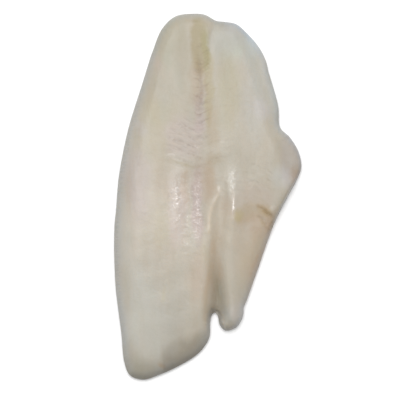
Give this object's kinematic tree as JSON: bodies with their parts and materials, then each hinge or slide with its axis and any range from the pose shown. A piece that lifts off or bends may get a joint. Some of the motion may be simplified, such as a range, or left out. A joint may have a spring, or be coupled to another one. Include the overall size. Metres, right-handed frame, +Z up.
{
  "type": "raw flounder fillet",
  "caption": "Raw white fish fillet lying flat, thick along one side and split from the head end into a broad lobe and a narrow lobe.",
  "frame": {"origin": "middle of the outline's box, at the level of the flat underside", "axes": "+Y along the fillet towards the tail end, +X towards the side with the flap, +Z up out of the cut face"},
  "size_m": [0.11, 0.215, 0.0145],
  "materials": {
    "flesh": "moist, satin, slightly translucent cream-white flesh"
  },
  "bodies": {
    "root": {"fillet": "flesh"}
  },
  "joints": []
}
